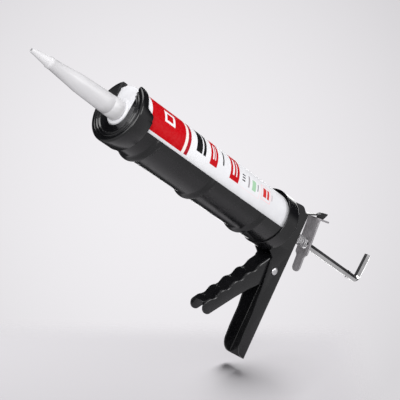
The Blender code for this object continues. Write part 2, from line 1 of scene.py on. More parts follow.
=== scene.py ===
"""A half-barrel caulking gun in a pale studio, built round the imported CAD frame.

Every length is in metres. The barrel's own frame has X along the barrel and its origin on the
barrel's axis at the rear cap; the handle, the trigger and the release lever have tilted frames.
"""

import json
import math

import bmesh
import bpy
from mathutils import Matrix, Vector

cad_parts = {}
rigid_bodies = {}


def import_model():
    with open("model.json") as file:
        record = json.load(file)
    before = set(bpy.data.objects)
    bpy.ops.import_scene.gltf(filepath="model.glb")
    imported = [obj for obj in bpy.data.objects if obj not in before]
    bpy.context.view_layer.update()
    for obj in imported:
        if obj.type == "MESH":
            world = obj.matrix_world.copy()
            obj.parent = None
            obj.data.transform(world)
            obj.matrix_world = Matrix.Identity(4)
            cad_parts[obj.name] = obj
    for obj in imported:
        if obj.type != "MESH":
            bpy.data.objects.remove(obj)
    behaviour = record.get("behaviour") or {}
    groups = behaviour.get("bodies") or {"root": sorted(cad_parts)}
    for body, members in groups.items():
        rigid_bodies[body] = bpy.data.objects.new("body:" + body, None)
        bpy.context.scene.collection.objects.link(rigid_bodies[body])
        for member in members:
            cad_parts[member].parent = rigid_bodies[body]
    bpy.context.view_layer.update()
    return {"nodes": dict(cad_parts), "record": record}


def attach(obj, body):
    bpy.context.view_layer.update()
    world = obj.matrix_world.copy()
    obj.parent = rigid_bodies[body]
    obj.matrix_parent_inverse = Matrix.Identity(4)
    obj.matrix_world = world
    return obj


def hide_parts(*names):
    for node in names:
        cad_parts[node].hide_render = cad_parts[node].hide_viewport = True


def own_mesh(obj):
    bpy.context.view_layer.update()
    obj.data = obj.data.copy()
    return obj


MM = 0.001
GAP = 0.3 * MM
SHEET = 1.5 * MM

BARREL_X = -32.7 * MM
BARREL_Z = 41.5 * MM
TUBE_R = 25.0 * MM
TUBE_BORE_R = 23.5 * MM
TUBE_REAR = -13.0 * MM
TUBE_FRONT = -228.0 * MM
CAP_R = 28.7 * MM
CAP_WALL = 0.9 * MM
CRADLE_R = 27.5 * MM
CRADLE_WALL = 1.1 * MM
BEAD_HEIGHT = 2.48 * MM
BEAD_HALF = 6.2 * MM
BEAD_REAR = 3.6 * MM
BEAD_PLACES = [-45.2 * MM, -120.6 * MM, -196.0 * MM]
HANDLE_TILT_DEG = -4.5
GRIP_TOP = 25.0 * MM
WEB_LEAN = 0.3 * MM
HANDLE_HALF = 11.2 * MM
HANDLE_TOP = 65.3 * MM
HANDLE_BOTTOM = -88.5 * MM
PIVOT = (-13.3 * MM, 0.1 * MM)
TRIGGER_TILT_DEG = 36.3
TRIGGER_HALF = 9.2 * MM
TRIGGER_FRONT = -15.5 * MM
TRIGGER_END = -82.4 * MM
WAVE_PITCH = 17.0 * MM
LEVER = (22.0 * MM, 70.9 * MM)
LEVER_TILT_DEG = -10.5
LEVER_FACE = -7.7 * MM
LEVER_SHEET = 1.8 * MM
LEVER_HALF = 8.0 * MM
LEVER_BOTTOM = -57.6 * MM
LEVER_TAB_END = 7.3 * MM
LEVER_HOLE_Z = -28.6 * MM
NECK_LENGTH = 14.0 * MM
NECK_BORE_R = 5.0 * MM
THREAD_PITCH = 2.2 * MM
NOZZLE_LENGTH = 99.0 * MM
ROD_ACROSS = 6.33 * MM
ROD_FRONT = -134.0 * MM
ROD_HOOK_X = 151.1 * MM
ROD_HOOK_TOP = 29.5 * MM
ROD_BEND_R = 5.0 * MM
STUD_R = 2.5 * MM
ROD_HOLE_R = 4.1 * MM
PIVOT_HOLE_R = 3.3 * MM
PIVOT_DOME_R = 3.9 * MM
RIVET_HOLE_R = 2.3 * MM
LEVER_SPRING_R = 4.8 * MM
LEVER_SPRING_END = 17.9 * MM
LEVER_WIRE_R = 0.5 * MM
MAIN_SPRING_R = 7.2 * MM
MAIN_SPRING_END = 17.3 * MM
MAIN_WIRE_R = 0.7 * MM
FRAME_BEND = 2.4 * MM
TRIGGER_BEND = 2.6 * MM
RIM_ROUND = 2.2 * MM

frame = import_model()


# ---------------------------------------------------------------- node helpers


class Nodes:
    """Adds shader nodes to one material and links them."""

    def __init__(self, tree):
        self.tree = tree

    def add(self, kind, **settings):
        """A new node with some of its properties set."""
        node = self.tree.nodes.new(kind)
        for key, value in settings.items():
            setattr(node, key, value)
        return node

    def plug(self, value, socket):
        """Link a socket, or set a plain value; None leaves the socket alone."""
        if isinstance(value, bpy.types.NodeSocket):
            self.tree.links.new(value, socket)
        elif value is not None:
            socket.default_value = value

    def math(self, operation, a, b=None, c=None, clamp=False):
        """The result of one scalar operation."""
        node = self.add("ShaderNodeMath", operation=operation, use_clamp=clamp)
        for value, socket in zip((a, b, c), node.inputs):
            self.plug(value, socket)
        return node.outputs[0]

    def place(self):
        """The piece's own coordinates, in metres."""
        return self.add("ShaderNodeTexCoord").outputs["Object"]

    def scaled(self, vector, scale):
        """Coordinates stretched or squeezed along the axes."""
        node = self.add("ShaderNodeMapping")
        self.plug(vector, node.inputs["Vector"])
        node.inputs["Scale"].default_value = scale
        return node.outputs[0]

    def noise(self, vector, scale, detail=2.0, roughness=0.5):
        """Smooth noise of 0 to 1, with its scale in waves per metre."""
        node = self.add("ShaderNodeTexNoise")
        self.plug(vector, node.inputs["Vector"])
        node.inputs["Scale"].default_value = scale
        node.inputs["Detail"].default_value = detail
        node.inputs["Roughness"].default_value = roughness
        return node.outputs["Fac"]

    def remap(self, value, low, high, to_low=0.0, to_high=1.0):
        """A value eased from one range to another, and held at its ends."""
        node = self.add("ShaderNodeMapRange", interpolation_type="SMOOTHSTEP")
        for item, socket in zip((value, low, high, to_low, to_high), node.inputs):
            self.plug(item, socket)
        return node.outputs[0]

    def blend(self, factor, a, b):
        """The colour between two colours."""
        node = self.add("ShaderNodeMix", data_type="RGBA")
        self.plug(factor, node.inputs["Factor"])
        self.plug(a, node.inputs["A"])
        self.plug(b, node.inputs["B"])
        return node.outputs["Result"]

    def bump(self, height, strength, distance):
        """A normal bent by a height."""
        node = self.add("ShaderNodeBump")
        self.plug(height, node.inputs["Height"])
        node.inputs["Strength"].default_value = strength
        node.inputs["Distance"].default_value = distance
        return node.outputs[0]

    def edges(self, radius):
        """1 near sharp edges and 0 on open faces."""
        soft = self.add("ShaderNodeBevel", samples=4)
        soft.inputs["Radius"].default_value = radius
        true = self.add("ShaderNodeNewGeometry").outputs["Normal"]
        dot = self.add("ShaderNodeVectorMath", operation="DOT_PRODUCT")
        self.plug(soft.outputs[0], dot.inputs[0])
        self.plug(true, dot.inputs[1])
        return self.remap(dot.outputs["Value"], 0.995, 0.86)


def colour(r, g, b):
    """A display colour of 0 to 255 as a linear colour."""
    parts = []
    for part in (r, g, b):
        share = part / 255.0
        parts.append(share / 12.92 if share <= 0.04045 else ((share + 0.055) / 1.055) ** 2.4)
    return (*parts, 1.0)


def shifted(base, step, top=255):
    """A display colour made lighter or darker by a step."""
    return colour(*[min(part + step, top) for part in base])


def shader(name):
    """A new material with its node helper and its Principled shader."""
    mat = bpy.data.materials.new(name)
    mat.use_nodes = True
    return mat, Nodes(mat.node_tree), mat.node_tree.nodes["Principled BSDF"]


def black_coat(name, base, gloss):
    """Satin black paint over steel: fine orange peel, faint dust, edges rubbed thin."""
    mat, n, bsdf = shader(name)
    place = n.place()
    cloud = n.noise(place, 38.0, 3.0)
    speck = n.noise(place, 1500.0, 2.0)
    rub = n.noise(place, 260.0, 4.0, 0.65)
    worn = n.math("MULTIPLY", n.edges(0.5 * MM), n.remap(rub, 0.48, 0.66))
    tint = n.blend(n.remap(cloud, 0.3, 0.7), colour(*base), shifted(base, 7))
    tint = n.blend(n.math("MULTIPLY", n.remap(speck, 0.62, 0.8), 0.35), tint, colour(96, 96, 99))
    tint = n.blend(n.math("MULTIPLY", worn, 0.16), tint, colour(118, 117, 118))
    n.plug(tint, bsdf.inputs["Base Color"])
    rough = n.remap(n.noise(place, 90.0, 3.0), 0.25, 0.75, gloss - 0.05, gloss + 0.08)
    n.plug(rough, bsdf.inputs["Roughness"])
    peel = n.noise(place, 450.0, 2.0)
    n.plug(n.bump(peel, 0.05, 0.05 * MM), bsdf.inputs["Normal"])
    bsdf.inputs["Specular IOR Level"].default_value = 0.5
    return mat


def plated(name, base, rough, grain_scale, bump, metal):
    """Zinc or nickel plate on steel: cloudy spangle, drawn lines, small scratches and a painted highlight
    along every edge.
    """
    mat, n, bsdf = shader(name)
    place = n.place()
    spangle = n.noise(n.scaled(place, (1.0, 1.0, 0.7)), grain_scale, 4.0, 0.6)
    fine = n.noise(place, 2200.0, 2.0)
    lines = n.noise(n.scaled(place, (1.0, 1.0, 0.05)), 1700.0, 2.0)
    tint = n.blend(n.remap(spangle, 0.3, 0.7), shifted(base, -16), colour(*base))
    tint = n.blend(n.math("MULTIPLY", n.remap(fine, 0.55, 0.75), 0.3), tint, shifted(base, 22))
    # Painted highlight: every edge is made lighter, as if it caught the light.
    edge = n.math("MULTIPLY", n.edges(0.45 * MM), 0.5)
    n.plug(n.blend(edge, tint, shifted(base, 45, 250)), bsdf.inputs["Base Color"])
    n.plug(n.remap(spangle, 0.3, 0.75, rough + 0.07, rough - 0.06), bsdf.inputs["Roughness"])
    bsdf.inputs["Metallic"].default_value = metal
    n.plug(n.bump(n.math("ADD", fine, lines), bump, 0.03 * MM), bsdf.inputs["Normal"])
    return mat


def drawn_bar():
    """Bright drawn steel bar: long die lines, a little oil haze."""
    mat, n, bsdf = shader("drawn_bar")
    place = n.place()
    lines = n.noise(n.scaled(place, (0.012, 1.0, 1.0)), 2600.0, 3.0)
    haze = n.noise(n.scaled(place, (0.3, 1.0, 1.0)), 120.0, 3.0)
    tint = n.blend(n.remap(haze, 0.3, 0.75), colour(196, 195, 196), colour(224, 223, 224))
    tint = n.blend(n.remap(lines, 0.6, 0.8, 0.0, 0.25), tint, colour(176, 175, 176))
    n.plug(tint, bsdf.inputs["Base Color"])
    n.plug(n.remap(haze, 0.3, 0.7, 0.16, 0.24), bsdf.inputs["Roughness"])
    bsdf.inputs["Metallic"].default_value = 1.0
    n.plug(n.bump(lines, 0.03, 0.02 * MM), bsdf.inputs["Normal"])
    return mat


def white_plastic(name, base, rough, glow):
    """Moulded polyethylene: faint flow clouding, fine skin, a soft glow from inside."""
    mat, n, bsdf = shader(name)
    place = n.place()
    flow = n.noise(n.scaled(place, (0.25, 1.0, 1.0)), 140.0, 3.0)
    skin = n.noise(place, 420.0, 2.0)
    n.plug(n.blend(n.remap(flow, 0.3, 0.7), shifted(base, -7), colour(*base)),
           bsdf.inputs["Base Color"])
    n.plug(n.remap(flow, 0.3, 0.7, rough - 0.04, rough + 0.06), bsdf.inputs["Roughness"])
    n.plug(n.bump(skin, 0.05, 0.03 * MM), bsdf.inputs["Normal"])
    bsdf.inputs["Subsurface Weight"].default_value = glow
    bsdf.inputs["Subsurface Radius"].default_value = (2.2 * MM, 2.2 * MM, 2.2 * MM)
    bsdf.inputs["Subsurface Scale"].default_value = 1.0
    return mat


RED = colour(180, 7, 18)
DEEP_RED = colour(158, 12, 30)
INK = colour(18, 18, 20)
PAPER = colour(220, 220, 223)
CREAM = colour(228, 218, 208)

# Each print is (colour, x from, x to, angle from, angle to): x in mm along the barrel, angle in
# degrees down from the top of the cartridge on either side.
PRINTS = [
    (RED, -214.6, -170.0, 0.0, 94.5),
    (CREAM, -169.2, -167.0, 0.0, 94.5),
    (DEEP_RED, -166.6, -162.6, 0.0, 94.5),
    (PAPER, -198.4, -184.8, 33.0, 60.5),
    (RED, -195.6, -187.6, 38.5, 55.0),
    (INK, -154.4, -146.6, 6.0, 73.0),
    (INK, -144.9, -141.4, 6.0, 73.0),
    (RED, -134.7, -124.6, 10.0, 79.5),
    (PAPER, -131.8, -130.0, 31.0, 66.5),
    (PAPER, -128.6, -127.6, 31.0, 66.5),
    (INK, -117.4, -115.6, 30.0, 65.0),
    (RED, -105.6, -92.6, 10.0, 79.5),
    (PAPER, -102.4, -99.9, 30.0, 68.5),
    (PAPER, -97.4, -96.0, 30.0, 68.5),
    (INK, -87.9, -83.6, 50.0, 53.0),
    (INK, -87.9, -83.6, 56.5, 59.5),
    (INK, -87.9, -83.6, 63.0, 66.0),
    (colour(150, 146, 150), -78.7, -76.6, 45.0, 72.0),
    (colour(158, 196, 164), -72.6, -67.0, 48.0, 72.0),
    (colour(96, 100, 104), -64.4, -63.2, 51.0, 67.0),
    (colour(236, 196, 198), -58.4, -43.6, 42.0, 76.0),
    (PAPER, -57.6, -44.4, 43.5, 74.5),
    (colour(196, 52, 50), -55.4, -50.6, 48.0, 69.0),
    (colour(196, 52, 50), -49.0, -46.0, 48.0, 69.0),
    (colour(178, 160, 164), -42.0, -40.8, 52.0, 66.0),
    (colour(232, 206, 210), -105.0, -61.0, 79.9, 80.7),
    (colour(232, 206, 210), -61.5, -60.8, 60.0, 80.7),
]


def label_print(name):
    """White cartridge skin printed with plain blocks and bars in red, black and grey."""
    mat, n, bsdf = shader(name)
    place = n.place()
    split = n.add("ShaderNodeSeparateXYZ")
    n.plug(place, split.inputs[0])
    x = n.math("MULTIPLY", split.outputs[0], 1000.0)
    side = n.math("ABSOLUTE", split.outputs[1])
    angle = n.math("MULTIPLY", n.math("ARCTAN2", side, split.outputs[2]), 180.0 / math.pi)
    wander = n.noise(place, 900.0, 2.0)
    ragged = n.math("MULTIPLY", n.math("SUBTRACT", wander, 0.5), 0.25)
    x = n.math("ADD", x, ragged)
    cloud = n.noise(place, 60.0, 3.0)
    skin = n.blend(n.remap(cloud, 0.3, 0.7), colour(216, 216, 219), colour(223, 223, 226))

    def band(value, low, high, soft):
        away = n.math("ABSOLUTE", n.math("SUBTRACT", value, (low + high) / 2.0))
        half = (high - low) / 2.0
        return n.remap(away, half + soft, half - soft)

    for ink, x_low, x_high, angle_low, angle_high in PRINTS:
        along = band(x, x_low, x_high, 0.16)
        round_tube = band(angle, angle_low, angle_high, 0.35)
        skin = n.blend(n.math("MULTIPLY", along, round_tube), skin, ink)
    thin = n.math("MULTIPLY", n.remap(n.noise(place, 420.0, 3.0), 0.35, 0.7), 0.01)
    skin = n.blend(thin, skin, colour(232, 226, 228))
    n.plug(skin, bsdf.inputs["Base Color"])
    n.plug(n.remap(cloud, 0.3, 0.7, 0.36, 0.46), bsdf.inputs["Roughness"])
    n.plug(n.bump(n.noise(place, 1500.0, 2.0), 0.06, 0.03 * MM), bsdf.inputs["Normal"])
    bsdf.inputs["Specular IOR Level"].default_value = 0.04
    return mat


# ---------------------------------------------------------------- mesh helpers


def placement(x, z, tilt_deg=0.0):
    """A frame on the centre plane, turned about Y."""
    return Matrix.Translation((x, 0.0, z)) @ Matrix.Rotation(math.radians(tilt_deg), 4, "Y")


IN_BARREL = placement(BARREL_X, BARREL_Z)
IN_HANDLE = placement(0.0, 0.0, HANDLE_TILT_DEG)
IN_TRIGGER = placement(PIVOT[0], PIVOT[1], TRIGGER_TILT_DEG)
IN_LEVER = placement(LEVER[0], LEVER[1], LEVER_TILT_DEG)
QUARTER = Matrix.Rotation(math.radians(90.0), 4, "Z")


def finish_mesh(name, bm, place, sharp_deg=35.0):
    """Turn a bmesh into a smooth-shaded object whose faces point out."""
    bmesh.ops.remove_doubles(bm, verts=bm.verts, dist=1e-7)
    bmesh.ops.recalc_face_normals(bm, faces=bm.faces)
    mesh = bpy.data.meshes.new(name)
    bm.to_mesh(mesh)
    bm.free()
    mesh.shade_smooth()
    mesh.set_sharp_from_angle(angle=math.radians(sharp_deg))
    obj = bpy.data.objects.new(name, mesh)
    bpy.context.scene.collection.objects.link(obj)
    obj.matrix_world = place
    return obj


def arc(centre, radius, start_deg, end_deg, steps):
    """The points of an arc in a plane."""
    points = []
    for i in range(steps + 1):
        angle = math.radians(start_deg + (end_deg - start_deg) * i / steps)
        points.append((centre[0] + radius * math.cos(angle), centre[1] + radius * math.sin(angle)))
    return points


def turned(name, profile, place, steps=128):
    """Turn a profile of (x, radius) points about X, as a ring unless it starts on the axis."""
    bm = bmesh.new()
    rings = []
    for x, radius in profile:
        count = steps if radius > 0.0 else 1
        angles = [2.0 * math.pi * i / steps for i in range(count)]
        rings.append([bm.verts.new((x, radius * math.cos(a), radius * math.sin(a))) for a in angles])
    pairs = list(zip(rings, rings[1:]))
    if len(rings[0]) > 1:
        pairs.append((rings[-1], rings[0]))
    for ring_a, ring_b in pairs:
        for i in range(steps):
            j = (i + 1) % steps
            if len(ring_a) == 1:
                bm.faces.new((ring_a[0], ring_b[i], ring_b[j]))
            elif len(ring_b) == 1:
                bm.faces.new((ring_a[i], ring_b[0], ring_a[j]))
            else:
                bm.faces.new((ring_a[i], ring_b[i], ring_b[j], ring_a[j]))
    return finish_mesh(name, bm, place)


def prism(name, outline, low, high, place, axis="Y"):
    """Extrude an outline from low to high: (x, z) points along Y, or (y, z) points along X."""
    bm = bmesh.new()
    if axis == "Y":
        corners = [(u, low, v) for u, v in outline]
        push = (0.0, high - low, 0.0)
    else:
        corners = [(low, u, v) for u, v in outline]
        push = (high - low, 0.0, 0.0)
    face = bm.faces.new([bm.verts.new(corner) for corner in corners])
    pushed = bmesh.ops.extrude_face_region(bm, geom=[face])
    moved = [item for item in pushed["geom"] if isinstance(item, bmesh.types.BMVert)]
    bmesh.ops.translate(bm, verts=moved, vec=push)
    return finish_mesh(name, bm, place)


def box_outline(low_u, high_u, low_v, high_v):
    """The outline of a rectangle."""
    return [(low_u, low_v), (high_u, low_v), (high_u, high_v), (low_u, high_v)]


def skin(name, sections, place, sharp_deg=35.0):
    """Skin one closed section after another and cap the two ends."""
    bm = bmesh.new()
    rings = [[bm.verts.new(point) for point in section] for section in sections]
    count = len(rings[0])
    for ring_a, ring_b in zip(rings, rings[1:]):
        for i in range(count):
            j = (i + 1) % count
            bm.faces.new((ring_a[i], ring_a[j], ring_b[j], ring_b[i]))
    bm.faces.new(rings[0])
    bm.faces.new(rings[-1])
    return finish_mesh(name, bm, place, sharp_deg)


def apply_all(obj):
    """Make the modifiers' result the object's own mesh."""
    graph = bpy.context.evaluated_depsgraph_get()
    mesh = bpy.data.meshes.new_from_object(obj.evaluated_get(graph))
    obj.modifiers.clear()
    obj.data = mesh


def combine(target, tool, operation="DIFFERENCE"):
    """Cut, join or intersect at once, and drop the tool."""
    change = target.modifiers.new("combine", "BOOLEAN")
    change.solver = "EXACT"
    change.operation = operation
    change.object = tool
    apply_all(target)
    bpy.data.objects.remove(tool, do_unlink=True)


def round_hole(target, radius, place, length=40.0 * MM):
    """Cut a round hole along the X axis of a frame."""
    half = length / 2.0
    profile = [(-half, 0.0), (-half, radius), (half, radius), (half, 0.0)]
    combine(target, turned("hole", profile, place, 48))


def round_edges(obj, width, segments=2, angle_deg=38.0):
    """Break the sharp edges of an object with a small round."""
    soften = obj.modifiers.new("round", "BEVEL")
    soften.width = width
    soften.segments = segments
    soften.limit_method = "ANGLE"
    soften.angle_limit = math.radians(angle_deg)
    soften.harden_normals = False
    apply_all(obj)
    obj.data.shade_smooth()
    obj.data.set_sharp_from_angle(angle=math.radians(50.0))


def settle(obj, mat, body, nodes):
    """Give a piece its material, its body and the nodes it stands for."""
    if obj.matrix_world.to_quaternion().angle > 1e-4:
        obj.data.transform(obj.matrix_world)
        obj.matrix_world = Matrix.Identity(4)
    obj.data.materials.clear()
    obj.data.materials.append(mat)
    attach(obj, body)
    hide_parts(*nodes)


def coil(name, x_start, x_end, radius, wire_r, turns, place):
    """A compression spring about X, with one closed turn at each end."""
    per_turn = 40
    sides = 12
    tight = 2.3 * wire_r
    span = x_end - x_start - 2.0 * wire_r
    pitch = (span - 2.0 * tight) / (turns - 2.0)
    along = Vector((1.0, 0.0, 0.0))
    sections = []
    for i in range(turns * per_turn + 1):
        turn = i / per_turn
        middle = min(max(turn - 1.0, 0.0), turns - 2.0)
        x = x_start + wire_r + tight * (turn - middle) + pitch * middle
        angle = 2.0 * math.pi * turn
        outward = Vector((0.0, math.cos(angle), math.sin(angle)))
        centre = outward * radius + along * x
        section = []
        for k in range(sides):
            around = 2.0 * math.pi * k / sides
            section.append(centre + wire_r * (math.cos(around) * outward + math.sin(around) * along))
        sections.append(section)
    return skin(name, sections, place, 70.0)


def channel(name, levels, half, bend, web_at, open_x, place):
    """A folded U channel along Z whose web stands at web_at(z) and whose walls end at open_x."""
    sections = []
    for z in levels:
        web = web_at(z)
        way = 1.0 if open_x > web else -1.0
        outer = [(open_x, half)]
        inner = [(open_x, half - SHEET)]
        for cos_part, sin_part in arc((0.0, 0.0), 1.0, 90.0, 0.0, 10):
            outer.append((web + way * bend * (1.0 - cos_part), half - bend * (1.0 - sin_part)))
            inside = bend - SHEET
            inner.append((web + way * (SHEET + inside * (1.0 - cos_part)),
                          half - SHEET - inside * (1.0 - sin_part)))
        outline = outer + [(x, -y) for x, y in reversed(outer)]
        outline += [(x, -y) for x, y in inner] + list(reversed(inner))
        sections.append([(x, y, z) for x, y in outline])
    return skin(name, sections, place)


# ---------------------------------------------------------------- pieces


def bead_lift(away):
    """How far a bead lifts the cradle's wall: a long slope in front and a short one behind."""
    share = away / (BEAD_REAR if away > 0.0 else BEAD_HALF)
    return BEAD_HEIGHT * 0.5 * (1.0 + math.cos(math.pi * share)) if abs(share) < 1.0 else 0.0


def make_cradle(mat):
    """The half-round cradle with its three swaged beads."""
    stations = [TUBE_FRONT + 1.5 * MM]
    per_bead = 12
    for centre in reversed(BEAD_PLACES):
        stations += [centre - BEAD_HALF * (1.0 - k / per_bead) for k in range(per_bead)]
        stations += [centre + BEAD_REAR * k / per_bead for k in range(per_bead + 1)]
    stations.append(-SHEET - GAP)
    inside = CRADLE_R - CRADLE_WALL
    lip_deg = 10.5
    start = 180.0 + lip_deg
    end = 360.0 - lip_deg
    sections = []
    for x in stations:
        lift = max(bead_lift(x - centre) for centre in BEAD_PLACES)
        outline = arc((0.0, 0.0), CRADLE_R + lift, start, end, 90)
        outline += arc((0.0, 0.0), inside + lift, end, start, 90)
        sections.append([(x, y, z) for y, z in outline])
    cradle = skin("cradle_look", sections, IN_BARREL)
    settle(cradle, mat, "frame", ["cradle"])


# The pressed rings of the front cap as (depth, radius) in mm, from the rim inwards.
CAP_RINGS = [
    (0.2, 24.9), (0.8, 24.7), (1.0, 24.3), (1.0, 23.9), (0.8, 23.7), (0.2, 23.4), (0.0, 23.1),
    (0.0, 22.8), (0.2, 22.5), (0.9, 22.2), (1.1, 21.9), (1.1, 21.3), (0.9, 21.0), (0.5, 20.8),
    (0.4, 20.5), (0.6, 20.2), (1.4, 19.8), (1.8, 19.2), (1.8, 6.0),
]


def make_front_cap(mat):
    """The stamped front cap with its pressed rings, swept skirt and nozzle slot."""
    rim = TUBE_FRONT - 3.2 * MM
    inner = CAP_R - CAP_WALL
    skirt_end = rim + 17.0 * MM
    back = TUBE_FRONT - GAP
    profile = [(skirt_end, inner), (skirt_end, CAP_R - 0.15 * MM), (skirt_end - 0.2 * MM, CAP_R)]
    profile += arc((rim + RIM_ROUND, CAP_R - RIM_ROUND), RIM_ROUND, 90.0, 180.0, 12)
    profile += [(rim, 25.2 * MM)]
    profile += [(rim + depth * MM, r * MM) for depth, r in CAP_RINGS]
    profile += [(back, 6.0 * MM), (back, 26.0 * MM), (back + MM, inner)]
    cap = turned("front_cap_look", profile, IN_BARREL, 160)
    top = CAP_R + 6.0 * MM
    slot_half = 12.6 * MM
    slot = arc((0.0, 0.0), slot_half, 180.0, 360.0, 48) + [(slot_half, top), (-slot_half, top)]
    combine(cap, prism("slot", slot, rim - 5.0 * MM, skirt_end + 5.0 * MM, IN_BARREL, "X"))
    low = rim + 16.0 * MM
    high = rim + 7.4 * MM
    end = skirt_end + 5.0 * MM
    sweep = [(end, 1.0 * MM), (low + 3.0 * MM, 1.0 * MM), (low, 4.0 * MM)]
    sweep += arc((low - 4.0 * MM, 6.0 * MM), 4.0 * MM, 0.0, 45.0, 10)
    sweep += arc((high + 4.0 * MM, 14.0 * MM), 4.0 * MM, 225.0, 180.0, 10)
    sweep += [(high, 22.0 * MM), (high - 2.5 * MM, top), (end, top)]
    reach = CAP_R + 5.0 * MM
    combine(cap, prism("sweep", sweep, -reach, reach, IN_BARREL))
    round_edges(cap, 0.22 * MM)
    settle(cap, mat, "frame", ["front_cap"])


RIVET_PLACES = [(side * (HANDLE_HALF + 5.0 * MM), level) for level in (12.0 * MM, -12.0 * MM)
                for side in (-1.0, 1.0)]


def make_rear_cap(mat):
    """The rear cap, a stamped cup round the cradle's rear end."""
    inner = CAP_R - CAP_WALL
    profile = [(-17.0 * MM, inner), (-17.0 * MM, CAP_R - 0.2 * MM), (-16.8 * MM, CAP_R)]
    profile += arc((-RIM_ROUND, CAP_R - RIM_ROUND), RIM_ROUND, 90.0, 0.0, 12)
    profile += [(0.0, ROD_HOLE_R), (-SHEET, ROD_HOLE_R), (-SHEET, inner)]
    cap = turned("rear_cap_look", profile, IN_BARREL, 160)
    for y, z in RIVET_PLACES:
        round_hole(cap, RIVET_HOLE_R, IN_BARREL @ Matrix.Translation((0.0, y, z)), 10.0 * MM)
    settle(cap, mat, "frame", ["rear_cap"])


def in_handle(x, z):
    """A point of the barrel's frame in the handle's tilted frame."""
    point = IN_HANDLE.inverted() @ Vector((BARREL_X + x, 0.0, BARREL_Z + z))
    return (point.x, point.z)


def handle_outline():
    """The side outline of the frame's two walls, in the handle's frame."""
    beyond = 2.0 * MM
    front = 2.0 * GAP
    corner = 14.5 * MM
    outline = [(beyond, HANDLE_TOP), (beyond, HANDLE_BOTTOM)]
    outline += arc((-0.5 * MM, HANDLE_BOTTOM + corner), corner, 270.0, 180.0, 24)
    for x, z in ((-15.9, -64.0), (-16.2, -44.0), (-18.2, -32.0), (-20.4, -15.0), (-23.6, 5.5),
                 (-24.1, 8.0), (-24.2, 9.0), (-24.1, 10.2), (-23.6, 12.0)):
        outline.append((x * MM, z * MM))
    outline += [in_handle(front, -27.2 * MM), in_handle(front, 26.0 * MM), in_handle(9.0 * MM, 27.2 * MM)]
    outline += arc((-15.5 * MM, 62.3 * MM), 8.0 * MM, 88.0, 45.0, 12)
    outline += [(-7.0 * MM, 66.0 * MM), (-4.0 * MM, HANDLE_TOP)]
    return outline


def web_lean(z):
    """Where the back of the frame stands at z: flat up the grip, then leaning a little forward."""
    return -WEB_LEAN * max(0.0, z - GRIP_TOP) / (HANDLE_TOP + 10.0 * MM - GRIP_TOP)


def make_handle_frame(mat):
    """The folded frame: grip channel, walls up to the rear cap, flanges and top tongue."""
    low = HANDLE_BOTTOM - 5.0 * MM
    high = HANDLE_TOP + 10.0 * MM
    levels = [low, GRIP_TOP, high]
    body = channel("handle_frame_look", levels, HANDLE_HALF, FRAME_BEND, web_lean, -60.0 * MM, IN_HANDLE)
    reach = HANDLE_HALF + 5.0 * MM
    combine(body, prism("walls", handle_outline(), -reach, reach, IN_HANDLE), "INTERSECT")
    corner = 5.0 * MM
    rise = 18.0 * MM
    for side in (-1.0, 1.0):
        root = side * (HANDLE_HALF - 0.8 * SHEET)
        edge = side * (20.2 * MM - corner)
        outline = [(root, -rise)]
        for level, turn in ((-rise + corner, -90.0), (rise - corner, 0.0)):
            for x, z in arc((0.0, 0.0), corner, turn, turn + 90.0, 8):
                outline.append((edge + side * x, level + z))
        outline.append((root, rise))
        combine(body, prism("flange", outline, GAP, GAP + SHEET, IN_BARREL, "X"), "UNION")
    tongue = [(x * MM, z * MM) for x, z in (
        (-1.2, 62.6), (-0.7, 65.0), (18.2, 71.4), (23.4, 71.9), (28.6, 75.6), (32.8, 76.6),
        (33.5, 75.4), (29.6, 68.9), (28.4, 68.3), (27.4, 68.7), (26.2, 70.6), (18.6, 69.9), (0.0, 63.6))]
    combine(body, prism("tongue", tongue, -3.4 * MM, 3.4 * MM, IN_HANDLE), "UNION")
    for y, z in RIVET_PLACES:
        round_hole(body, RIVET_HOLE_R, IN_BARREL @ Matrix.Translation((0.0, y, z)), 10.0 * MM)
    round_hole(body, ROD_HOLE_R, IN_BARREL @ Matrix.Translation((-BARREL_X, 0.0, 0.0)), 20.0 * MM)
    round_hole(body, PIVOT_HOLE_R, placement(*PIVOT) @ QUARTER)
    round_edges(body, 0.25 * MM)
    settle(body, mat, "frame", ["handle_frame"])


def wave(z):
    """Where the trigger's finger face stands at z."""
    share = (-12.0 * MM - z) / WAVE_PITCH
    if share < 0.0 or share > 4.0:
        return TRIGGER_FRONT
    return TRIGGER_FRONT + 1.1 * MM * (1.0 - math.cos(2.0 * math.pi * share))


def trigger_outline():
    """The side outline of the trigger's walls, in the trigger's frame."""
    outline = arc((-10.7 * MM, 24.9 * MM), 3.0 * MM, 23.0, 203.0, 20)
    for x, z in ((-9.4, 12.0), (-10.5, 8.0), (-14.0, 5.0), (-18.5, 3.0)):
        outline.append((x * MM, z * MM))
    outline += [(TRIGGER_FRONT - 3.0 * MM, TRIGGER_END + 8.0 * MM)]
    outline += [(TRIGGER_FRONT + 0.1 * MM, TRIGGER_END + 4.0 * MM)]
    outline += arc((TRIGGER_FRONT + 7.1 * MM, TRIGGER_END), 7.0 * MM, 180.0, 350.0, 30)
    outline += [(-0.2 * MM, -52.0 * MM), (1.2 * MM, -34.0 * MM), (4.7 * MM, -15.4 * MM)]
    outline += arc((0.0, 0.0), 7.2 * MM, -30.0, 50.0, 14)
    return outline


